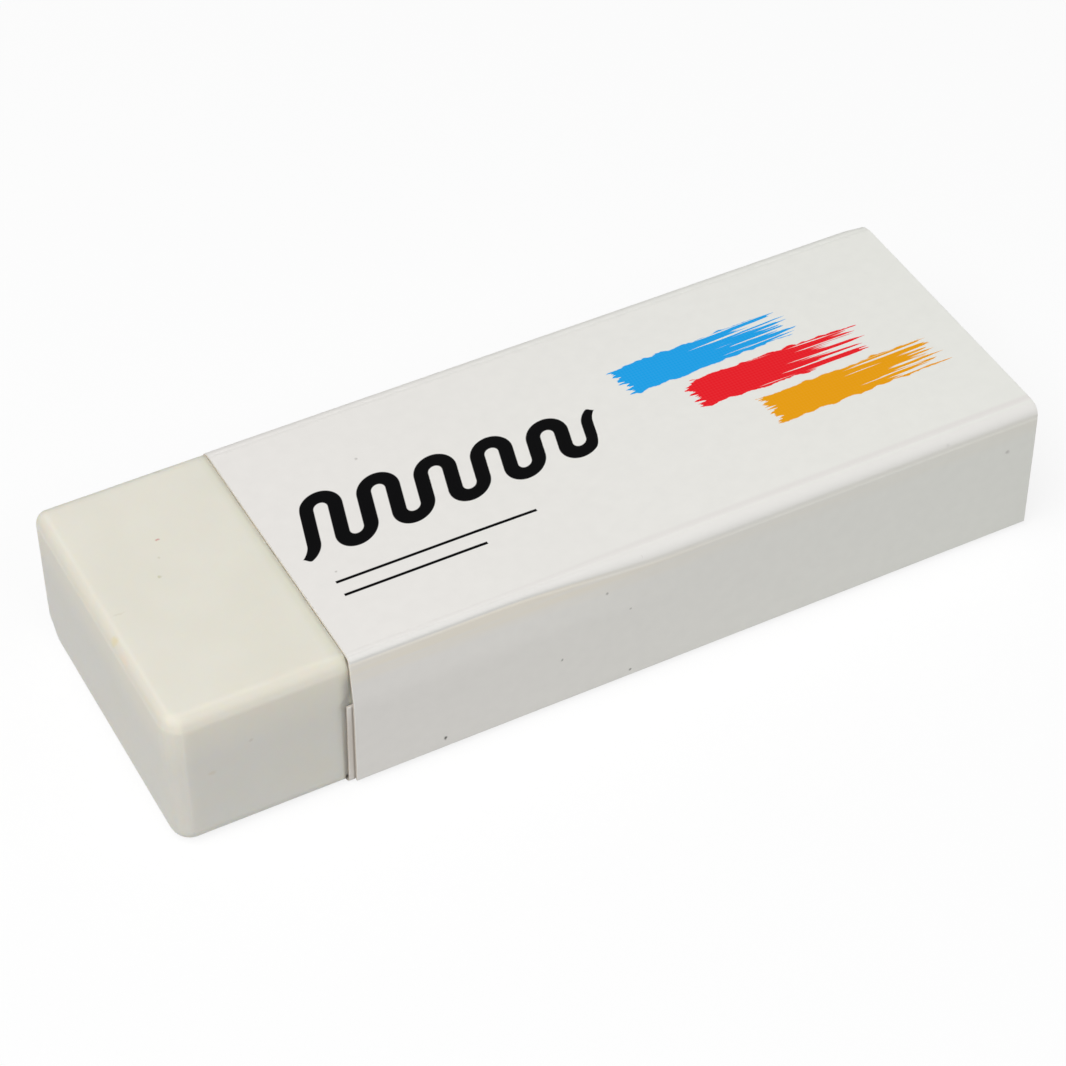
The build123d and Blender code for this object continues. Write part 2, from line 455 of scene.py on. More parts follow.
def block_mesh(settings, mouth, sleeve):
    """Rounded block, cut into a fine grid whose faces sink in slightly and carry the small tears."""
    shape = bmesh.new()
    bmesh.ops.create_cube(shape, size=1.0)
    middle, size = (BLOCK_LOW + BLOCK_HIGH) / 2, BLOCK_HIGH - BLOCK_LOW
    for vertex in shape.verts:
        vertex.co = middle + vertex.co * size
    for radius, sharper in ((settings.corner_radius, False), (settings.back_corner_radius, True)):
        uprights = [e for e in shape.edges if abs(e.verts[0].co.z - e.verts[1].co.z) > size.z / 2
                    and (e.verts[0].co.x == BLOCK_LOW.x and e.verts[0].co.y == BLOCK_HIGH.y) == sharper]
        bmesh.ops.bevel(shape, geom=uprights, offset=radius, segments=BLOCK_CORNER_STEPS,
                        profile=ROUND_PROFILE, affect="EDGES")
    rims = [e for e in shape.edges if abs(e.verts[0].co.z - e.verts[1].co.z) < size.z / 2]
    bmesh.ops.bevel(shape, geom=rims, offset=settings.edge_radius, segments=BLOCK_EDGE_STEPS,
                    profile=ROUND_PROFILE, affect="EDGES")
    neck = mouth - sleeve.flap_stand_out - NECK_RUN
    cuts = [(0, x) for x in steps(BLOCK_LOW.x, neck, SHOWN_SLICE)]
    edge = mouth + mouth_cut(sleeve, BLOCK_LOW.y)
    cuts += [(0, x) for x in (neck, *steps(neck, edge, NECK_SLICE), edge)]
    cuts += [(0, x) for x in steps(edge, BLOCK_HIGH.x, HIDDEN_SLICE)]
    cuts += [(1, y) for y in steps(BLOCK_LOW.y, BLOCK_HIGH.y, SHOWN_SLICE)]
    cuts += [(2, z) for z in steps(BLOCK_LOW.z, BLOCK_HIGH.z, SHOWN_SLICE)]
    for axis, level in cuts:
        across = Vector([float(i == axis) for i in range(3)])
        everything = shape.verts[:] + shape.edges[:] + shape.faces[:]
        bmesh.ops.bisect_plane(shape, geom=everything, dist=CUT_TOLERANCE,
                               plane_co=across * level, plane_no=across)
    shape.normal_update()
    moved = []
    for vertex in shape.verts:
        sink, ripple = (hollow(vertex.co, wave) for wave in (SINK_WAVE, RIPPLE_WAVE))
        depth = settings.sink_depth * (sink * (1 - RIPPLE_SHARE) + ripple * RIPPLE_SHARE)
        depth += pressed_in(vertex.co, NICKS)
        swell = settings.swell * swollen(vertex.co, mouth, sleeve)
        moved.append(vertex.co - vertex.normal * depth + vertex.normal * Vector((0, 1, 1)) * swell)
    for vertex, place in zip(shape.verts, moved):
        vertex.co = place
    for face in shape.faces:
        face.smooth = True
    mesh = bpy.data.meshes.new("rubber_block")
    shape.to_mesh(mesh)
    shape.free()
    return mesh


# Card sleeve

FOLD_STEPS = 14  # facets round a fold
FINE_STEP = 0.06 * MM  # card's mesh spacing beside folds and cut edges
FINE_REACH = 0.6 * MM  # how far that spacing goes
FLAT_STEPS = (6, 27, 11, 27, 4, 7)  # coarse steps along the flap, under, behind, over and down the front
LENGTH_STEPS = 68  # coarse steps along the sleeve
BEND_STEPS = 4  # facets round a soft bend
CUT_BEVEL = 0.03 * MM  # worn corner of a cut edge
CUT_SHARE = 0.6  # thickness left at the very edge, as a share
SCORE_DEPTH = 0.03 * MM  # pressed line each side of a fold
SCORE_WIDTH = 0.09 * MM
PANEL_WAVE = 9.0 * MM  # distance between hollows in the card's panels
PANEL_SINK = 0.03 * MM
SKEW_RUN = 4.0 * MM  # underside over which the flap's stand-out dies away
SHARP_TURN = math.radians(45)  # a fold that turns more than this is scored first
CRUSHED = [  # place, reach and depth in millimetres where a corner of the card is pressed round
    ((30.0, 10.65, 10.6), 1.5, 0.14),
]
# Along the sleeve, where the front crease moves out over the lap
DRIFT_START, DRIFT_END = -9.0 * MM, 4.0 * MM
FAR_LEAN = 0.02 * MM  # what is left of the front panel's lean there
FAR_SAG = 0.16 * MM  # how far the roof has sunk there at the crease
NEAR_PULL = 0.12 * MM  # how far the crease is pulled in over the rubber's round edge near the mouth


def graded(length, coarse):
    """Distances from 0 to length, close together near both ends."""
    fine = round(FINE_REACH / FINE_STEP)
    near = [FINE_REACH * i / fine for i in range(fine)]
    middle = [FINE_REACH + (length - 2 * FINE_REACH) * i / coarse for i in range(coarse)]
    far = [length - FINE_REACH + d for d in near]
    return near + middle + far + [length]


def card_line(settings, edge_radius, drifted):
    """Middle line of the folded card from the flap's free edge to the front panel's lower edge.

    Each point is its place, the direction out of the sleeve and the card's length so far. The second
    list holds the lengths at which the folds start and end.
    """
    half = settings.card_thickness / 2
    wall, front = SLEEVE_HIGH.y - half, SLEEVE_LOW.y + half
    under, roof = SLEEVE_LOW.z + half, SLEEVE_HIGH.z - half
    wrapped, creased = edge_radius + WRAP - half, settings.crease_radius + half
    crease = (front + FAR_LEAN, roof - FAR_SAG) if drifted else (NEAR_PULL - wall, roof)
    crease_radius = settings.far_crease_radius + half if drifted else creased
    corners = [(-wall, settings.flap_height), (-wall, under), (wall, under), (wall, roof), crease,
               (front, settings.flap_height), (front, settings.front_lift)]
    corners = [Vector((0, y, z)) for y, z in corners]
    lower_radius = creased if drifted else (creased + wrapped) / 2
    radii = [0.0, lower_radius, wrapped, wrapped, crease_radius, settings.bend_radius, 0.0]
    headings = [(end - start).normalized() for start, end in zip(corners, corners[1:])]
    turns = [0.0] + [a.angle(b) for a, b in zip(headings, headings[1:])] + [0.0]
    taken = [radius * math.tan(turn / 2) for radius, turn in zip(radii, turns)]
    points, scores, travelled = [], [], 0.0
    for k, heading in enumerate(headings):
        outward = Vector((0, heading.z, -heading.y))
        place = corners[k] + heading * taken[k]
        flat = (corners[k + 1] - corners[k]).length - taken[k] - taken[k + 1]
        points += [(place + heading * d, outward, travelled + d) for d in graded(flat, FLAT_STEPS[k])]
        travelled += flat
        radius, turn = radii[k + 1], turns[k + 1]
        facets = FOLD_STEPS if turn > SHARP_TURN else BEND_STEPS if turn else 1
        centre = place + heading * flat - outward * radius
        for i in range(1, facets):
            angle = turn * i / facets
            out = outward * math.cos(angle) + heading * math.sin(angle)
            points.append((centre + out * radius, out, travelled + radius * angle))
        if turn > SHARP_TURN:
            scores += [travelled, travelled + radius * turn]
        travelled += radius * turn
    return points, scores


def sleeve_rows(settings, edge_radius):
    """Outer and inner points of the card, one row for each station along the sleeve."""
    line, scores = card_line(settings, edge_radius, False)
    far_line, _ = card_line(settings, edge_radius, True)
    half = settings.card_thickness / 2
    mouth = full_mouth(settings)
    length = SLEEVE_HIGH.x - mouth
    stations = [(0.0, CUT_SHARE), (CUT_BEVEL, 1.0)]
    stations += [(d, 1.0) for d in graded(length, LENGTH_STEPS)[1:-1]]
    stations += [(length - CUT_BEVEL, 1.0), (length, CUT_SHARE)]
    flap_fold, skew_start, crease = scores[0], scores[1], scores[-1]
    outer, inner = [], []
    for along, share in stations:
        drift = eased((mouth + along - DRIFT_START) / (DRIFT_END - DRIFT_START))
        outer_row, inner_row = [], []
        for i, ((place, out, travelled), (far_place, far_out, _)) in enumerate(zip(line, far_line)):
            edge = CUT_SHARE if i in (0, len(line) - 1) else 1.0
            skew = min(1.0, max(0.0, 1 - (travelled - skew_start) / SKEW_RUN))
            cut = mouth_cut(settings, place.y)
            if travelled > crease:
                cut -= settings.front_lean * max(0.0, 1 - (place.z - settings.front_lift) / LEAN_HEIGHT)
            flap_cut = FLAP_SETBACK + FLAP_LEAN * max(0.0, 1 - travelled / flap_fold)
            cut += (flap_cut - cut) * skew
            shift = cut * (1 - along / length) - settings.flap_stand_out * skew
            spot = place.lerp(far_place, drift) + Vector((mouth + along + shift, 0, 0))
            out = out.lerp(far_out, drift).normalized()
            score = sum(math.exp(-((travelled - s) / SCORE_WIDTH) ** 2) for s in scores)
            crush = pressed_in(spot, CRUSHED)
            spot -= out * (PANEL_SINK * hollow(spot, PANEL_WAVE) + crush)
            spot.x -= crush
            thick = half * min(share, edge)
            outer_row.append(spot + out * (thick - SCORE_DEPTH * score))
            inner_row.append(spot - out * thick)
        outer.append(outer_row)
        inner.append(inner_row)
    return outer, inner, [p[2] for p in line], [s[0] for s in stations]


# Places of the card's faces on the flat sheet that its colours are drawn on, as shares of the sheet
SHEET_MARGIN = 0.012
BACK_START, BACK_END = 0.74, 0.93
MOUTH_START, MOUTH_END = 0.945, 0.960
END_START, END_END = 0.972, 0.987
OUTSIDE, INSIDE, CUT, GLUE = range(4)  # material slots of the sleeve


def sleeve_mesh(settings, edge_radius):
    """Folded card with its thickness, as one closed shell, and the film of glue in its lap."""
    outer, inner, lengths, stations = sleeve_rows(settings, edge_radius)
    rows, columns = len(outer), len(outer[0])
    points = [p for row in outer for p in row] + [p for row in inner for p in row]
    scale = (1 - 2 * SHEET_MARGIN) / lengths[-1]

    def on_outside(i, j):
        return SHEET_MARGIN + stations[j] * scale, SHEET_MARGIN + lengths[i] * scale

    def on_inside(i, j):
        share = stations[j] / stations[-1]
        return BACK_START + (BACK_END - BACK_START) * share, SHEET_MARGIN + lengths[i] * scale

    faces = []  # corner numbers, places on the sheet, material slot
    under = rows * columns
    for j in range(rows - 1):
        for i in range(columns - 1):
            ring = [(i, j), (i + 1, j), (i + 1, j + 1), (i, j + 1)]
            faces.append(([b * columns + a for a, b in ring], [on_outside(*c) for c in ring], OUTSIDE))
            ring.reverse()
            corners = [under + b * columns + a for a, b in ring]
            faces.append((corners, [on_inside(*c) for c in ring], INSIDE))
    for i in range(columns - 1):
        low, high = (SHEET_MARGIN + lengths[k] * scale for k in (i, i + 1))
        for j, start, end in ((0, MOUTH_START, MOUTH_END), (rows - 1, END_START, END_END)):
            a, b = j * columns + i, j * columns + i + 1
            corners = [a, under + a, under + b, b]
            sheet = [(start, low), (end, low), (end, high), (start, high)]
            if j:
                corners.reverse()
                sheet.reverse()
            faces.append((corners, sheet, CUT))
    for j in range(rows - 1):
        left, right = (SHEET_MARGIN + stations[k] * scale for k in (j, j + 1))
        for i, low, high in ((0, 0.0, SHEET_MARGIN / 2), (columns - 1, 1.0, 1 - SHEET_MARGIN / 2)):
            a, b = j * columns + i, (j + 1) * columns + i
            corners = [a, b, under + b, under + a]
            sheet = [(left, high), (right, high), (right, low), (left, low)]
            if i:
                corners.reverse()
                sheet.reverse()
            faces.append((corners, sheet, CUT))

    glue_points, glue_faces = glue_film(settings)
    first = len(points)
    points += glue_points
    corner = (1 - SHEET_MARGIN / 2, SHEET_MARGIN / 2)
    for ring in glue_faces:
        faces.append(([first + n for n in ring], [corner] * len(ring), GLUE))

    mesh = bpy.data.meshes.new("folded_card_sleeve")
    mesh.from_pydata(points, [], [f[0] for f in faces])
    mesh.polygons.foreach_set("material_index", [f[2] for f in faces])
    mesh.polygons.foreach_set("use_smooth", [f[2] in (OUTSIDE, INSIDE) for f in faces])
    sheet_map = mesh.uv_layers.new(name="OFBake")
    sheet_map.data.foreach_set("uv", [value for f in faces for corner in f[1] for value in corner])
    mesh.update()
    shape = bmesh.new()
    shape.from_mesh(mesh)
    for edge in shape.edges:
        edge.smooth = len({face.material_index for face in edge.link_faces}) == 1
    shape.to_mesh(mesh)
    shape.free()
    return mesh


GLUE_MARGIN = 1.5 * MM  # dry card between the glue and the edges of the lap
GLUE_CLEAR = 0.002 * MM  # keeps the film's faces off the card's


def glue_film(settings):
    """Thin pad of dried glue between the flap and the front panel, with a rounded outline."""
    low = Vector((SLEEVE_LOW.x + settings.flap_stand_out + GLUE_MARGIN,
                  SLEEVE_LOW.y + settings.card_thickness + GLUE_CLEAR,
                  SLEEVE_LOW.z + settings.card_thickness + settings.crease_radius + GLUE_MARGIN))
    high = Vector((SLEEVE_HIGH.x - settings.flap_stand_out - GLUE_MARGIN,
                   SLEEVE_LOW.y + LAP - GLUE_CLEAR,
                   settings.flap_height - GLUE_MARGIN))
    radius = (high.z - low.z) / 2
    outline = []
    for centre, start in ((high.x - radius, -math.pi / 2), (low.x + radius, math.pi / 2)):
        for i in range(FOLD_STEPS + 1):
            angle = start + math.pi * i / FOLD_STEPS
            outline.append((centre + radius * math.cos(angle), low.z + radius + radius * math.sin(angle)))
    count = len(outline)
    points = [Vector((x, low.y, z)) for x, z in outline] + [Vector((x, high.y, z)) for x, z in outline]
    faces = [list(range(count)), list(range(2 * count - 1, count - 1, -1))]
    faces += [[(i + 1) % count, i, count + i, count + (i + 1) % count] for i in range(count)]
    return points, faces


# Print on the card's broad face, in millimetres of the part's frame
SCRIBBLE_START, SCRIBBLE_END = -15.6, 4.6
SCRIBBLE_LINE = 0.7  # its middle, across the sleeve
SCRIBBLE_SLANT = 0.28  # lean of its runs, as a share of their height
SCRIBBLE_RUNS = (1.35, 0.55)  # half the straight part of its first and last runs
SCRIBBLE_TAPER = 0.7  # length of the line's rounded ends
RULES = [(-16.2, -2.6, -4.3, 0.22), (-16.2, -6.6, -5.5, 0.22)]  # start, end, line and width
STROKES = [("blue_ink", (13.4, 3.7), 1.5, 3.0), ("red_ink", (17.0, 0.3), -1.0, 11.0),
           ("amber_ink", (20.6, -3.1), 0.8, 19.0)]  # ink, centre, tilt in degrees and pattern's place
BRISTLE_WIDTH = 0.22  # a brush's bristle lines are finer, and are drawn coarser so that they show
BRISTLE_RUN = 9.0
WOBBLE_RATE = 0.9  # waves in a stroke's sides for each millimetre
INK_LOAD = (0.36, 0.02)  # spare ink at a stroke's head and at its tail
DRY_REACH = 1.5  # millimetres of edge that a full swing of the bristle lines gives
HEAD_RAG, TAIL_RAG, SIDE_RAG = 2.6, 7.0, 0.7  # raggedness of a stroke's outline, likewise
INK_EDGE = 0.025  # softness of a printed edge
SCREEN_SPACING = 0.32  # a print screen's dots are finer, and are drawn coarser so that they show
SCREEN_LEAST = 0.98  # share of ink between the dots
PRINT_DEPTH = 0.2  # only the broad upper face lies this near the sleeve's top
PRINT_LEVEL = SLEEVE_HIGH.z * PER_METRE - PRINT_DEPTH


def scribble_cover(tree, x, y, settings):
    """Share of black ink from a bold scribble: slanted runs joined by half-round turns, lower and lower."""
    pitch, width = settings.scribble_pitch * PER_METRE, settings.scribble_width * PER_METRE
    length = SCRIBBLE_END - SCRIBBLE_START
    across = add(tree, "Math", {0: y, 1: SCRIBBLE_LINE}, operation="SUBTRACT")
    along = add(tree, "Math", {0: x, 1: SCRIBBLE_START}, operation="SUBTRACT")
    along = add(tree, "Math", {0: across, 1: -SCRIBBLE_SLANT, 2: along}, operation="MULTIPLY_ADD")
    count = add(tree, "Math", {0: along, 1: pitch}, operation="DIVIDE")
    gap = add(tree, "Math", {0: count}, operation="FLOOR")
    odd = add(tree, "Math", {0: gap, 1: 2.0}, operation="FLOORED_MODULO")
    side = add(tree, "MapRange", {"Value": odd, "To Min": 1.0, "To Max": -1.0})
    side = add(tree, "Math", {0: across, 1: side}, operation="MULTIPLY")
    turned = add(tree, "Math", {0: side, 1: 0.0}, operation="GREATER_THAN")
    off = add(tree, "Math", {0: count}, operation="FRACT")
    off = add(tree, "Math", {0: off, 1: 0.5}, operation="SUBTRACT")
    off = add(tree, "Math", {0: off}, operation="ABSOLUTE")
    near = add(tree, "Math", {0: off, 1: pitch}, operation="MULTIPLY")
    far = add(tree, "Math", {0: pitch, 1: near}, operation="SUBTRACT")
    from_turn = add(tree, "MapRange", {"Value": turned, "To Min": far, "To Max": near})
    run = add(tree, "MapRange", {"Value": along, "From Max": length,
                                 "To Min": SCRIBBLE_RUNS[0], "To Max": SCRIBBLE_RUNS[1]})
    beyond = add(tree, "Math", {0: across}, operation="ABSOLUTE")
    beyond = add(tree, "Math", {0: beyond, 1: run}, operation="SUBTRACT")
    beyond = add(tree, "Math", {0: beyond, 1: 0.0}, operation="MAXIMUM")
    reach = add(tree, "CombineXYZ", {"X": from_turn, "Y": beyond})
    reach = add(tree, "VectorMath", {0: reach}, operation="LENGTH")
    off_line = add(tree, "Math", {0: reach, 1: pitch / 2}, operation="SUBTRACT")
    off_line = add(tree, "Math", {0: off_line}, operation="ABSOLUTE")
    start, end = -pitch / 2, length
    ends = (start, start + SCRIBBLE_TAPER, end - SCRIBBLE_TAPER, end)
    half = band(tree, along, ends, most=width / 2)
    inside = add(tree, "Math", {0: half, 1: off_line}, operation="SUBTRACT")
    return add(tree, "MapRange", {"Value": inside, "From Min": 0.0, "From Max": 2 * INK_EDGE})


def rule_cover(tree, x, y, rule):
    """Share of black ink from one fine straight rule."""
    start, end, line, width = rule
    along = band(tree, x, (start - INK_EDGE, start + INK_EDGE, end - INK_EDGE, end + INK_EDGE))
    low, high = line - width / 2, line + width / 2
    across = band(tree, y, (low - INK_EDGE, low + INK_EDGE, high - INK_EDGE, high + INK_EDGE))
    return add(tree, "Math", {0: along, 1: across}, operation="MULTIPLY")


def stroke_cover(tree, place, centre, tilt, pattern, settings):
    """Share of ink from one dry-brush stroke: full at its head, split into bristle lines at its tail."""
    half_length = settings.stroke_length * PER_METRE / 2
    half_width = settings.stroke_width * PER_METRE / 2
    own = add(tree, "Mapping", {"Vector": place, "Location": (*centre, 0.0),
                                "Rotation": (0.0, 0.0, math.radians(tilt))}, vector_type="TEXTURE")
    axes = add(tree, "SeparateXYZ", {0: own})
    along, across = axes.outputs["X"], axes.outputs["Y"]
    flat = add(tree, "CombineXYZ", {"X": along, "Y": across, "Z": pattern})
    drawn = add(tree, "Mapping", {"Vector": flat, "Scale": (1 / BRISTLE_RUN, 1 / BRISTLE_WIDTH, 1.0)})
    bristles = add(tree, "TexNoise", {"Vector": drawn, "Scale": 1.0, "Detail": 2.0})
    bristles = add(tree, "Math", {0: bristles, 1: NOISE_MIDDLE}, operation="SUBTRACT")
    wobble = add(tree, "TexNoise", {"Vector": flat, "Scale": WOBBLE_RATE, "Detail": 3.0})
    wobble = add(tree, "Math", {0: wobble, 1: NOISE_MIDDLE}, operation="SUBTRACT")
    head = add(tree, "Math", {0: along, 1: half_length}, operation="ADD")
    head = add(tree, "Math", {0: bristles, 1: HEAD_RAG, 2: head}, operation="MULTIPLY_ADD")
    tail = add(tree, "Math", {0: half_length, 1: along}, operation="SUBTRACT")
    tail = add(tree, "Math", {0: bristles, 1: TAIL_RAG, 2: tail}, operation="MULTIPLY_ADD")
    side = add(tree, "Math", {0: across}, operation="ABSOLUTE")
    side = add(tree, "Math", {0: half_width, 1: side}, operation="SUBTRACT")
    side = add(tree, "Math", {0: wobble, 1: SIDE_RAG, 2: side}, operation="MULTIPLY_ADD")
    wet = add(tree, "MapRange", {"Value": along, "From Min": -half_length, "From Max": half_length,
                                 "To Min": INK_LOAD[0], "To Max": INK_LOAD[1]})
    wet = add(tree, "Math", {0: bristles, 1: wet}, operation="ADD")
    wet = add(tree, "Math", {0: wet, 1: DRY_REACH}, operation="MULTIPLY")
    inside = add(tree, "Math", {0: head, 1: tail}, operation="MINIMUM")
    inside = add(tree, "Math", {0: inside, 1: side}, operation="MINIMUM")
    inside = add(tree, "Math", {0: inside, 1: wet}, operation="MINIMUM")
    return add(tree, "MapRange", {"Value": inside, "From Min": 0.0, "From Max": 2 * INK_EDGE})


def printed(tree, place, axes, colour, settings):
    """Card colour with the print over it, and the share of ink, on the broad upper face alone."""
    x, y, z = (axes.outputs[name] for name in "XYZ")
    on_top = add(tree, "MapRange", {"Value": z, "From Min": PRINT_LEVEL,
                                    "From Max": PRINT_LEVEL + INK_EDGE})
    layers = [(settings.black_ink, scribble_cover(tree, x, y, settings), False)]
    layers += [(settings.black_ink, rule_cover(tree, x, y, rule), False) for rule in RULES]
    layers += [(getattr(settings, ink), stroke_cover(tree, place, centre, tilt, pattern, settings), True)
               for ink, centre, tilt, pattern in STROKES]
    turned = add(tree, "Mapping", {"Vector": place, "Rotation": (0.0, 0.0, math.pi / 4),
                                   "Scale": [2 * math.pi / SCREEN_SPACING] * 3})
    dots = add(tree, "SeparateXYZ", {0: turned})
    dots = [add(tree, "Math", {0: dots.outputs[name]}, operation="SINE") for name in "XY"]
    dots = add(tree, "Math", {0: dots[0], 1: dots[1]}, operation="MULTIPLY")
    density = add(tree, "MapRange", {"Value": dots, "From Min": -1.0, "To Min": SCREEN_LEAST})
    all_ink = 0.0
    for ink, cover, screened in layers:
        cover = add(tree, "Math", {0: cover, 1: on_top}, operation="MULTIPLY")
        laid = add(tree, "Math", {0: cover, 1: density}, operation="MULTIPLY") if screened else cover
        colour = add(tree, "Mix", {FACTOR: laid, FIRST: colour, SECOND: opaque(ink)}, data_type="RGBA")
        all_ink = add(tree, "Math", {0: all_ink, 1: cover}, operation="MAXIMUM")
    return colour, all_ink


# Specks on the coated card, a crack across its front crease and painted shade over the flap's end, as for
# the rubber
CARD_MARKS = [
    ((-12.42, -10.86, 1.22), (0.15, 0.20, 0.20), "#4A4744"),
    ((-4.35, -10.86, 4.10), (0.15, 0.15, 0.15), "#B5B3AE"),
    ((0.47, -10.86, 0.95), (0.15, 0.15, 0.15), "#A3A09B"),
    ((-1.22, -10.80, 8.30), (0.14, 0.14, 0.14), "#BFBCB7"),
    ((0.40, -10.86, 6.33), (0.12, 0.12, 0.12), "#C6C3BE"),
    ((23.22, -10.86, 10.00), (0.20, 0.20, 0.20), "#CFCDC8"),
    ((27.90, -10.86, 7.47), (0.24, 0.24, 0.24), "#D2D0CB"),
    ((-10.40, 5.08, 10.60), (0.16, 0.16, 0.16), "#CBC8C3"),
    ((-15.80, -3.42, 10.60), (0.12, 0.12, 0.12), "#CBC8C3"),
    ((1.25, -10.75, 10.40), (0.07, 0.30, 0.40), "#BDB7AC"),
    ((-18.55, -10.65, 3.50), (0.80, 0.20, 5.00), "#D9D2CB"),  # painted shade over the flap's end, where the front panel shades it
]
CARD_SHADE_LINES = [  # painted shade along the front panel's edge and along the roof's
    ((-0.15, -0.04, -0.01, 0.02), (-1.0, 0.0, 6.6, 7.0), "#B3AAA2"),
    ((-0.3, -0.2, -0.06, 0.11), (10.45, 10.55, 11.0, 12.0), "#CDC9BB"),
]
FIBRE_SPACING = 0.9  # millimetres between the clouds of fibre that show through the coating
FIBRE_TONES = (0.988, 1.01)  # shares of the card's colour over and between them
COAT_SPACING = 0.45  # millimetres; the coating's unevenness is finer, and is drawn coarser so that it shows
COAT_DEPTH = 0.0008 * MM
COAT_IOR = 1.5
COAT_ROUGHNESS = (0.36, 0.44)  # in the coating's hollows and on its peaks
INK_SMOOTHING = -0.06  # what ink adds to that
COAT_GLOSS = 0.03  # a satin varnish mirrors little
CREST_REACH = (0.55, 1.15)  # millimetres each way from the crease that the painted shade on the crest spans, at the mouth and far on
CREST_BAND = (-0.8, -0.25, 0.4, 0.7)  # shares of that reach over the crease, from the panel to the roof
SCORE_SHADE_BAND = (0.68, 0.85, 1.05, 1.35)  # the same, for the painted shade of the scored line
STRAINED_AND_LIT_BAND = (-2.6, -1.2, -0.5, -0.32)  # millimetres over the crease, where the strained coating's tint and painted light lie
CREASE_FLOOR = (7.6, 8.0)  # millimetres above the floor, under which there is no crease
STREAK_RUN, STREAK_WIDTH = 12.0, 0.4  # millimetres
STREAK_DEPTH = 0.006 * MM
STREAK_LEVELS = (0.3, 0.6)  # levels of noise from the faintest streak to the fullest
STREAK_LEAST = 0.4  # tint in the faintest streak, as a share
CREASE_FADE = (10.0, -8.0)  # millimetres along the sleeve, from where the tint is faint to where it is full
CREASE_LEAST = 0.35  # tint where it is faint, as a share


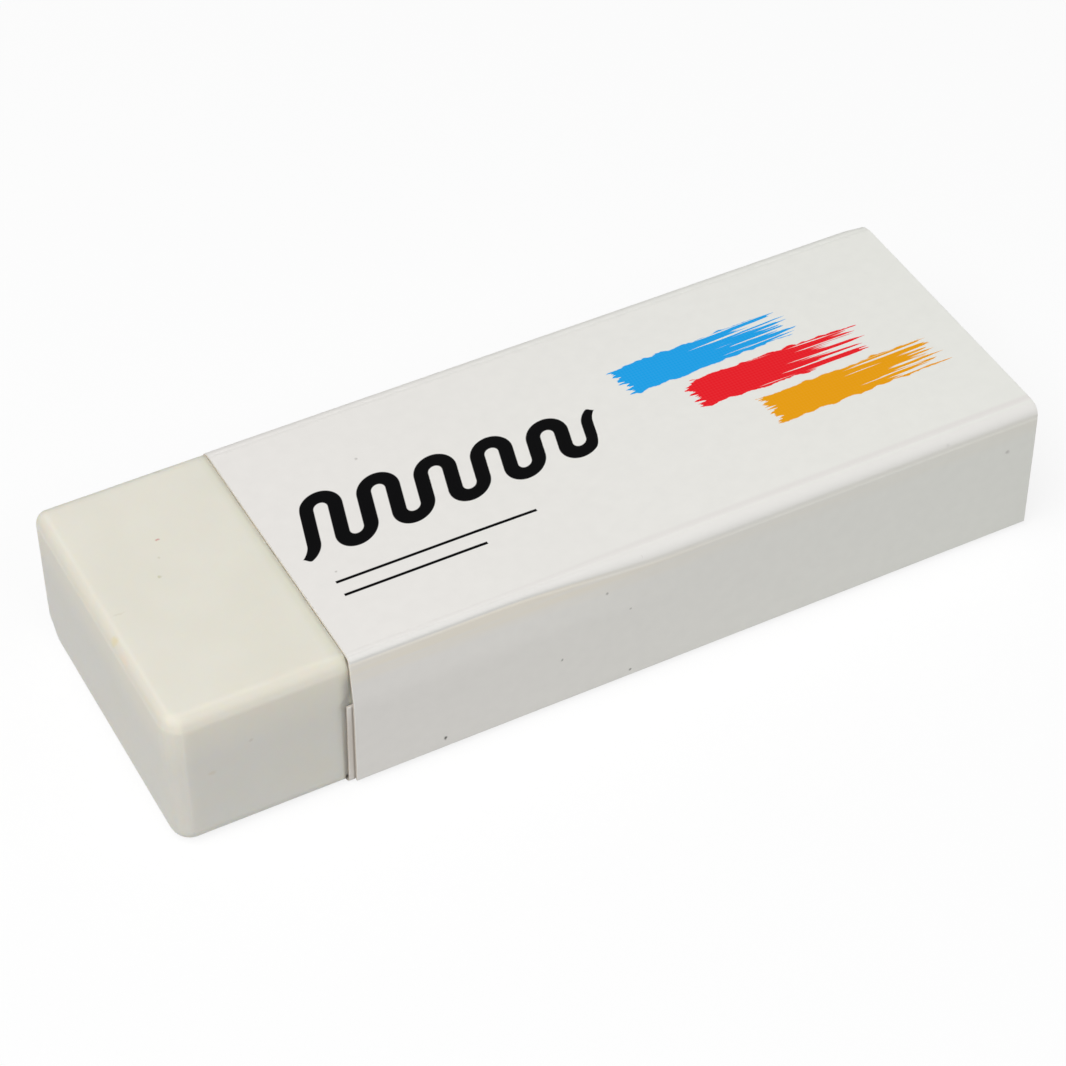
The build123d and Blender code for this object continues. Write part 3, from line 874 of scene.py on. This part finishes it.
def coated_card_material(settings, prints):
    """Folding boxboard, clay coated, offset printed and varnished: a satin white that clouds faintly with
    fibre and yellows where the coating is strained along the front fold. It carries painted light on the
    panel under that fold, and painted shade on the crease, on its scored line and beside the cut edges."""
    material, tree = new_material("satin_coated_folding_board")
    place = place_in_mm(tree)
    axes = add(tree, "SeparateXYZ", {0: place})
    x, z = axes.outputs["X"], axes.outputs["Z"]
    far = add(tree, "MapRange", {"Value": x, "From Min": SLEEVE_LOW.x * PER_METRE,
                                 "From Max": SLEEVE_HIGH.x * PER_METRE})
    colour = add(tree, "Mix", {FACTOR: far, FIRST: opaque(settings.card_colour),
                               SECOND: opaque(settings.far_colour)}, data_type="RGBA")
    fibres = add(tree, "TexNoise", {"Vector": place, "Scale": 1 / FIBRE_SPACING, "Detail": 4.0})
    tone = add(tree, "MapRange", {"Value": fibres, "From Min": NOISE_LOW, "From Max": NOISE_HIGH,
                                  "To Min": FIBRE_TONES[0], "To Max": FIBRE_TONES[1]})
    colour = add(tree, "Mix", {FACTOR: 1.0, FIRST: colour, SECOND: tone},
                 data_type="RGBA", blend_type="MULTIPLY")
    corner = (SLEEVE_HIGH.z + SLEEVE_LOW.y + LAP + NEAR_PULL) * PER_METRE
    far_corner = (SLEEVE_HIGH.z + SLEEVE_LOW.y - FAR_SAG) * PER_METRE
    drifted = add(tree, "MapRange", {"Value": x, "From Min": DRIFT_START * PER_METRE,
                                     "From Max": DRIFT_END * PER_METRE}, interpolation_type="SMOOTHSTEP")
    edge = add(tree, "MapRange", {"Value": drifted, "To Min": corner, "To Max": far_corner})
    reach = add(tree, "MapRange", {"Value": drifted, "To Min": CREST_REACH[0], "To Max": CREST_REACH[1]})
    over = add(tree, "VectorMath", {0: place, 1: (0.0, 1.0, 1.0)}, operation="DOT_PRODUCT")
    over = add(tree, "Math", {0: over, 1: edge}, operation="SUBTRACT")
    # Tint of the strained coating, with painted light, under the front crease
    strained = band(tree, over, STRAINED_AND_LIT_BAND)
    over = add(tree, "Math", {0: over, 1: reach}, operation="DIVIDE")
    high = add(tree, "MapRange", {"Value": z, "From Min": CREASE_FLOOR[0], "From Max": CREASE_FLOOR[1]})
    fade = add(tree, "MapRange", {"Value": x, "From Min": CREASE_FADE[0], "From Max": CREASE_FADE[1],
                                  "To Min": CREASE_LEAST}, interpolation_type="SMOOTHSTEP")
    drawn = add(tree, "Mapping", {"Vector": place, "Scale": (1 / STREAK_RUN, 1.0, 1 / STREAK_WIDTH)})
    streaks = add(tree, "TexNoise", {"Vector": drawn, "Scale": 1.0, "Detail": 3.0})
    streaky = add(tree, "MapRange", {"Value": streaks, "From Min": STREAK_LEVELS[0],
                                     "From Max": STREAK_LEVELS[1], "To Min": STREAK_LEAST})
    for share in (high, fade):
        strained = add(tree, "Math", {0: strained, 1: share}, operation="MULTIPLY")
    tint = add(tree, "Math", {0: strained, 1: streaky}, operation="MULTIPLY")
    colour = add(tree, "Mix", {FACTOR: tint, FIRST: colour, SECOND: opaque(settings.crease_tint_and_light_colour)},
                 data_type="RGBA")
    # Painted shade along the scored line
    scored = band(tree, over, SCORE_SHADE_BAND)
    scored = add(tree, "Math", {0: scored, 1: high}, operation="MULTIPLY")
    colour = add(tree, "Mix", {FACTOR: scored, FIRST: colour, SECOND: opaque(settings.score_shade_colour)},
                 data_type="RGBA")
    # Painted shade on the front crease's crest
    crest = band(tree, over, CREST_BAND)
    crest = add(tree, "Math", {0: crest, 1: high}, operation="MULTIPLY")
    colour = add(tree, "Mix", {FACTOR: crest, FIRST: colour, SECOND: opaque(settings.crest_shade_colour)},
                 data_type="RGBA")
    colour = with_marks(tree, place, colour, CARD_MARKS)
    # Painted shade along the front panel's and the roof's cut edges
    colour = with_shade_lines(tree, place, colour, mouth_edges(settings)[1:], CARD_SHADE_LINES)
    colour, ink = printed(tree, place, axes, colour, prints)
    uneven = add(tree, "TexNoise", {"Vector": place, "Scale": 1 / COAT_SPACING, "Detail": 2.0})
    rough = add(tree, "MapRange", {"Value": uneven, "From Min": NOISE_LOW, "From Max": NOISE_HIGH,
                                   "To Min": COAT_ROUGHNESS[0], "To Max": COAT_ROUGHNESS[1]})
    rough = add(tree, "Math", {0: ink, 1: INK_SMOOTHING, 2: rough}, operation="MULTIPLY_ADD")
    ridges = add(tree, "Math", {0: streaks, 1: strained}, operation="MULTIPLY")
    ridges = add(tree, "Bump", {"Height": ridges, "Distance": STREAK_DEPTH, "Strength": 1.0})
    bump = add(tree, "Bump", {"Height": uneven, "Distance": COAT_DEPTH, "Strength": 1.0, "Normal": ridges})
    shader = add(tree, "BsdfPrincipled", {"Base Color": colour, "Roughness": rough, "IOR": COAT_IOR,
                                          "Specular IOR Level": COAT_GLOSS, "Normal": bump})
    add(tree, "OutputMaterial", {"Surface": shader})
    return material


PAPER_IOR, GLUE_IOR = 1.47, 1.47
BACK_ROUGHNESS, CUT_ROUGHNESS, GLUE_ROUGHNESS = 0.9, 0.95, 0.4

# Loose fibres, in millimetres; real ones are finer, and are drawn coarser so that they show
LOOSE_FIBRE_RUN, LOOSE_FIBRE_WIDTH = 1.6, 0.25
LOOSE_FIBRE_DEPTH = 0.006 * MM
BACK_TONES = (0.9, 1.04)  # shares of the back's colour between the fibres and on them
LAYER_SPACING = 0.12  # millimetres; a cut edge's layers are finer, and are drawn coarser so that they show
CUT_TONES = (0.85, 1.08)  # shares of its colour between those layers and on them
LIT_CUT_LEVELS = (8.8, 10.2)  # millimetres above the floor, from the plain cut edge to the one painted lighter
SMEAR_SPACING = 1.5  # millimetres between smears in the glue
GLUE_COLOURS = ("#D8D2C0", "#C9C2AC")


def board_back_material(settings):
    """Uncoated back of the board: greyer and quite matt, with loose fibres."""
    material, tree = new_material("uncoated_board_back")
    place = place_in_mm(tree)
    across = 1 / LOOSE_FIBRE_WIDTH
    drawn = add(tree, "Mapping", {"Vector": place, "Scale": (1 / LOOSE_FIBRE_RUN, across, across)})
    fibres = add(tree, "TexNoise", {"Vector": drawn, "Scale": 1.0, "Detail": 4.0})
    tone = add(tree, "MapRange", {"Value": fibres, "From Min": NOISE_LOW, "From Max": NOISE_HIGH,
                                  "To Min": BACK_TONES[0], "To Max": BACK_TONES[1]})
    colour = add(tree, "Mix", {FACTOR: 1.0, FIRST: opaque(settings.back_colour), SECOND: tone},
                 data_type="RGBA", blend_type="MULTIPLY")
    bump = add(tree, "Bump", {"Height": fibres, "Distance": LOOSE_FIBRE_DEPTH, "Strength": 1.0})
    shader = add(tree, "BsdfPrincipled", {"Base Color": colour, "Roughness": BACK_ROUGHNESS,
                                          "IOR": PAPER_IOR, "Normal": bump})
    add(tree, "OutputMaterial", {"Surface": shader})
    return material


def cut_edge_material(settings):
    """Edge of the board where the die cut it: bare layered fibre, brownish grey and matt."""
    material, tree = new_material("die_cut_board_edge")
    place = place_in_mm(tree)
    layers = add(tree, "TexNoise", {"Vector": place, "Scale": 1 / LAYER_SPACING, "Detail": 3.0})
    tone = add(tree, "MapRange", {"Value": layers, "From Min": NOISE_LOW, "From Max": NOISE_HIGH,
                                  "To Min": CUT_TONES[0], "To Max": CUT_TONES[1]})
    height = add(tree, "SeparateXYZ", {0: place}).outputs["Z"]
    # Painted light on the cut edge near the top
    lit_cut = add(tree, "MapRange", {"Value": height, "From Min": LIT_CUT_LEVELS[0],
                                   "From Max": LIT_CUT_LEVELS[1]})
    colour = add(tree, "Mix", {FACTOR: lit_cut, FIRST: opaque(settings.cut_colour),
                               SECOND: opaque(settings.lit_cut_colour)}, data_type="RGBA")
    colour = add(tree, "Mix", {FACTOR: 1.0, FIRST: colour, SECOND: tone},
                 data_type="RGBA", blend_type="MULTIPLY")
    shader = add(tree, "BsdfPrincipled", {"Base Color": colour, "Roughness": CUT_ROUGHNESS,
                                          "IOR": PAPER_IOR})
    add(tree, "OutputMaterial", {"Surface": shader})
    return material


def glue_material():
    """Dried paper glue: milky and a little glossy."""
    material, tree = new_material("dried_paper_glue")
    place = place_in_mm(tree)
    smears = add(tree, "TexNoise", {"Vector": place, "Scale": 1 / SMEAR_SPACING, "Detail": 2.0})
    colour = add(tree, "Mix", {FACTOR: smears, FIRST: opaque(GLUE_COLOURS[0]),
                               SECOND: opaque(GLUE_COLOURS[1])}, data_type="RGBA")
    shader = add(tree, "BsdfPrincipled", {"Base Color": colour, "Roughness": GLUE_ROUGHNESS,
                                          "IOR": GLUE_IOR})
    add(tree, "OutputMaterial", {"Surface": shader})
    return material


def place_piece(mesh, materials, body, node):
    """Put a finished mesh on its body, in place of the plain solid."""
    for material in materials:
        mesh.materials.append(material)
    piece = bpy.data.objects.new(mesh.name, mesh)
    bpy.context.scene.collection.objects.link(piece)
    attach(piece, body)
    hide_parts(node)


# Stage

FLOOR_SIZE = 3.0  # metres
FLOOR_DROP = 0.02 * MM  # keeps the floor's face off the card's
FLOOR_SEEN_COLOUR = "#FCFCFC"
FLOOR_GLOW_SHARE = 0.82  # share of plain white in the floor as it is seen; the rest takes the shadow

# Softboxes, in metres
KEY_PLACE, KEY_SIZE, KEY_TINT = (-0.258, -0.141, 0.532), (0.5, 0.5), WHITE
STRIP_PLACE, STRIP_SIZE, STRIP_TINT = (0.22, -0.42, 0.40), (0.5, 0.12), "#F8FBFF"
CAMERA_NEAR = 5.0 * MM  # nearest distance that the camera sees


def seen_rays(tree, most):
    """Share for rays that show the floor or the sky: from the camera, in a reflection or through a piece."""
    path = add(tree, "LightPath")
    seen = path.outputs["Is Camera Ray"]
    for name in ("Is Glossy Ray", "Is Transmission Ray"):
        seen = add(tree, "Math", {0: seen, 1: path.outputs[name]}, operation="MAXIMUM")
    return add(tree, "Math", {0: seen, 1: most}, operation="MULTIPLY")


def make_floor(settings):
    """Wide pale floor that looks white and keeps a faint shadow."""
    half = FLOOR_SIZE / 2
    corners = [(-half, -half), (half, -half), (half, half), (-half, half)]
    mesh = bpy.data.meshes.new("studio_floor")
    mesh.from_pydata([(x, y, -FLOOR_DROP) for x, y in corners], [], [range(4)])
    material, tree = new_material("matt_white_floor")
    seen = seen_rays(tree, 1.0)
    shade = add(tree, "Mix", {FACTOR: seen, FIRST: opaque(settings.floor_colour),
                              SECOND: opaque(FLOOR_SEEN_COLOUR)}, data_type="RGBA")
    matt = add(tree, "BsdfDiffuse", {"Color": shade})
    white = add(tree, "Emission", {"Color": opaque(WHITE), "Strength": 1.0})
    mixed = add(tree, "MixShader", {0: seen_rays(tree, FLOOR_GLOW_SHARE), 1: matt, 2: white})
    add(tree, "OutputMaterial", {"Surface": mixed})
    mesh.materials.append(material)
    floor = bpy.data.objects.new("studio_floor", mesh)
    bpy.context.scene.collection.objects.link(floor)


def make_sky(settings):
    """Even white surroundings: plain white where they are seen, dimmer as a light."""
    world = bpy.data.worlds.new("studio_sky")
    world.use_nodes = True
    tree = world.node_tree
    tree.nodes.clear()
    seen = seen_rays(tree, 1.0)
    strength = add(tree, "MapRange", {"Value": seen, "To Min": settings.ambient, "To Max": 1.0})
    shader = add(tree, "Background", {"Color": opaque(WHITE), "Strength": strength})
    add(tree, "OutputWorld", {"Surface": shader})
    bpy.context.scene.world = world


def make_softbox(name, place, size, power, tint):
    """Rectangular soft light that faces the eraser."""
    light = bpy.data.lights.new(name, "AREA")
    light.shape = "RECTANGLE"
    light.size, light.size_y = size
    light.energy = power
    light.color = linear(tint)
    lamp = bpy.data.objects.new(name, light)
    lamp.location = place
    lamp.rotation_mode = "QUATERNION"
    lamp.rotation_quaternion = (-lamp.location).to_track_quat("-Z", "Y")
    bpy.context.scene.collection.objects.link(lamp)


def make_camera(settings):
    """Camera at the picture's viewing angle."""
    data = bpy.data.cameras.new("studio_camera")
    data.lens = settings.lens
    data.clip_start = CAMERA_NEAR
    camera = bpy.data.objects.new("studio_camera", data)
    camera.location = settings.camera_place
    sight = Vector(settings.camera_aim) - Vector(settings.camera_place)
    camera.rotation_mode = "QUATERNION"
    roll = Quaternion((0, 0, 1), settings.camera_roll)
    camera.rotation_quaternion = sight.to_track_quat("-Z", "Y") @ roll
    bpy.context.scene.collection.objects.link(camera)
    bpy.context.scene.camera = camera


# Operators and panel

class ERASER_OT_rubber_block(bpy.types.Operator):
    """Model the moulded rubber block"""
    bl_idname = "eraser.rubber_block"
    bl_label = "Rubber Block"

    def execute(self, context):
        settings = context.scene.eraser_block
        sleeve = context.scene.eraser_sleeve
        mesh = block_mesh(settings, full_mouth(sleeve), sleeve)
        place_piece(mesh, [rubber_material(settings, sleeve)], "block", "eraser_block")
        return {"FINISHED"}


class ERASER_OT_card_sleeve(bpy.types.Operator):
    """Fold and print the card sleeve"""
    bl_idname = "eraser.card_sleeve"
    bl_label = "Card Sleeve"

    def execute(self, context):
        settings = context.scene.eraser_sleeve
        mesh = sleeve_mesh(settings, context.scene.eraser_block.edge_radius)
        materials = [coated_card_material(settings, context.scene.eraser_print),
                     board_back_material(settings), cut_edge_material(settings), glue_material()]
        place_piece(mesh, materials, "sleeve", "card_sleeve")
        return {"FINISHED"}


class ERASER_OT_studio(bpy.types.Operator):
    """Set the floor, the light and the camera"""
    bl_idname = "eraser.studio"
    bl_label = "Studio"

    def execute(self, context):
        settings = context.scene.eraser_studio
        make_floor(settings)
        make_sky(settings)
        make_softbox("key_softbox", KEY_PLACE, KEY_SIZE, settings.key_power, KEY_TINT)
        make_softbox("strip_softbox", STRIP_PLACE, STRIP_SIZE, settings.strip_power, STRIP_TINT)
        make_camera(settings)
        context.scene.view_settings.view_transform = "Standard"
        return {"FINISHED"}


OPERATORS = (ERASER_OT_rubber_block, ERASER_OT_card_sleeve, ERASER_OT_studio)


class ERASER_PT_sidebar(bpy.types.Panel):
    """Steps that build the eraser"""
    bl_idname = "ERASER_PT_sidebar"
    bl_label = "Block Eraser"
    bl_space_type = "VIEW_3D"
    bl_region_type = "UI"
    bl_category = "Eraser"

    def draw(self, context):
        for operator in OPERATORS:
            self.layout.operator(operator.bl_idname)


SETTINGS = {
    "eraser_block": RubberBlockSettings,
    "eraser_sleeve": CardSleeveSettings,
    "eraser_print": SleevePrintSettings,
    "eraser_studio": StudioSettings,
}
CLASSES = (*SETTINGS.values(), *OPERATORS, ERASER_PT_sidebar)


def register():
    for each in CLASSES:
        bpy.utils.register_class(each)
    for name, group in SETTINGS.items():
        setattr(bpy.types.Scene, name, bpy.props.PointerProperty(type=group))


def unregister():
    for name in SETTINGS:
        delattr(bpy.types.Scene, name)
    for each in reversed(CLASSES):
        bpy.utils.unregister_class(each)


def main():
    register()
    bpy.ops.eraser.rubber_block()
    bpy.ops.eraser.card_sleeve()
    bpy.ops.eraser.studio()


if __name__ == "__main__":
    main()
